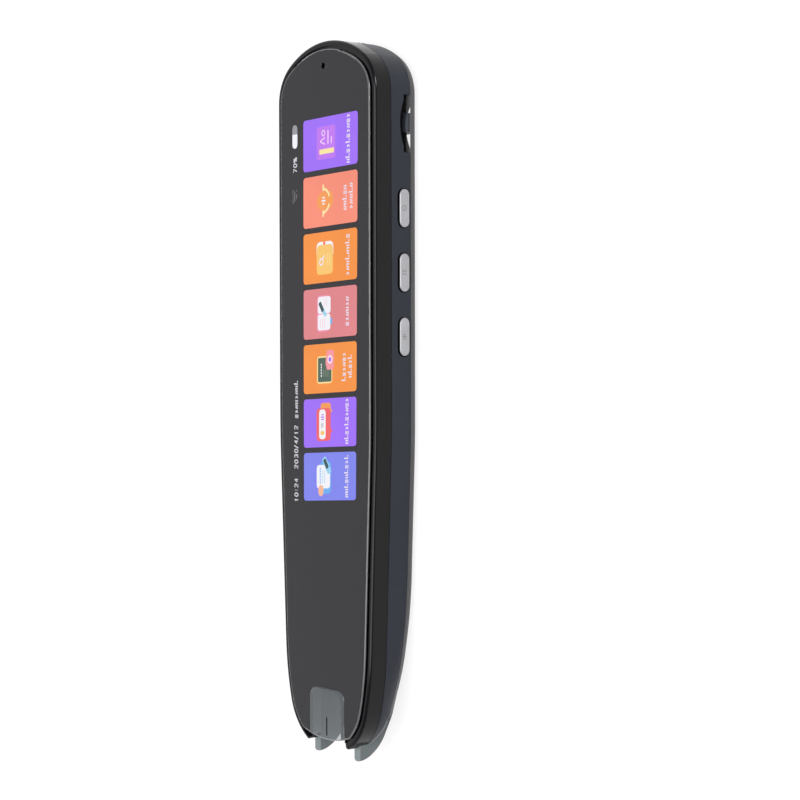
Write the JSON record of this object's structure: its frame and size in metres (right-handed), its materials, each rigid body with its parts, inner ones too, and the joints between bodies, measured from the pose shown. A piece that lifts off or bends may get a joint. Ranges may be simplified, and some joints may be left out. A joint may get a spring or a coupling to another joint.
{
  "type": "handheld scanning translator",
  "caption": "Pen-shaped handheld translator with a long colour touch screen, side keys, a lanyard slot and a sprung scanning nose.",
  "frame": {"origin": "on the flat back, under the middle of the pen", "axes": "+X along the pen to its round end, the side keys on -Y, +Z out of the screen"},
  "size_m": [0.1502, 0.0338, 0.0123],
  "materials": {
    "frame_black": "high gloss black moulding",
    "housing_slate": "fine matte blue-grey moulding",
    "cover_grey": "satin grey moulding",
    "cover_glass": "polished glass, bonded",
    "window_smoke": "clear smoky plastic",
    "guide_smoke": "translucent smoky grey, satin",
    "button_silver": "satin silver",
    "screen": "dark display with lit tiles",
    "adhesive_black": "black adhesive sheet",
    "backlight": "pressed frame",
    "chassis_metal": "die-cast, as cast",
    "screw_steel": "zinc plated",
    "board": "solder mask",
    "chip_black": "moulded epoxy",
    "battery_foil": "pouch foil",
    "pad_white": "adhesive pad",
    "switch_metal": "stamped steel",
    "speaker_black": "moulded box",
    "mesh_black": "woven acoustic mesh",
    "rubber_black": "soft moulded boot",
    "usb_steel": "rolled shell",
    "camera_black": "moulded holder",
    "lens_glass": "coated lens",
    "lamp_white": "phosphor lamp",
    "flex_amber": "polyimide film",
    "antenna_film": "printed film",
    "pocket_black": "black moulding",
    "bar_slate": "as the housing"
  },
  "bodies": {
    "body": {"front_frame": "frame_black", "housing": "housing_slate", "rear_cover": "cover_grey", "cover_glass": "cover_glass", "scan_window": "window_smoke", "glass_gasket": "adhesive_black", "window_liner": "guide_smoke", "display_panel": "screen", "display_backlight": "backlight", "inner_chassis": "chassis_metal", "chassis_screws": "screw_steel", "main_board": "board", "main_board_chips": "chip_black", "battery": "battery_foil", "battery_pad": "pad_white", "battery_board": "board", "key_board": "board", "key_switches": "switch_metal", "speaker": "speaker_black", "speaker_mesh": "mesh_black", "front_microphone": "switch_metal", "microphone_boot": "rubber_black", "usb_receptacle": "usb_steel", "usb_board": "board", "camera_module": "camera_black", "camera_lens": "lens_glass", "scan_light_board": "board", "scan_lamps": "lamp_white", "display_flex": "flex_amber", "camera_flex": "flex_amber", "key_flex": "flex_amber", "antenna": "antenna_film", "lanyard_pocket": "pocket_black", "lanyard_bar": "bar_slate", "nose_springs": "screw_steel", "trigger_switch": "chip_black"},
    "power_button": {"power_button": "button_silver"},
    "mode_button": {"mode_button": "button_silver"},
    "record_button": {"record_button": "button_silver"},
    "nose": {"nose_guide": "guide_smoke"}
  },
  "joints": [
    {"name": "power_press", "type": "slide", "parent": "body", "child": "power_button", "axis": [0, 1, 0], "range_m": [0, 0.0003], "stiffness_N_per_m": 800},
    {"name": "mode_press", "type": "slide", "parent": "body", "child": "mode_button", "axis": [0, 1, 0], "range_m": [0, 0.0003], "stiffness_N_per_m": 800},
    {"name": "record_press", "type": "slide", "parent": "body", "child": "record_button", "axis": [0, 1, 0], "range_m": [0, 0.0003], "stiffness_N_per_m": 800},
    {"name": "nose_press", "type": "slide", "parent": "body", "child": "nose", "axis": [1, 0, 0], "range_m": [0, 0.0008], "stiffness_N_per_m": 500, "deforming": ["nose_springs"]}
  ]
}
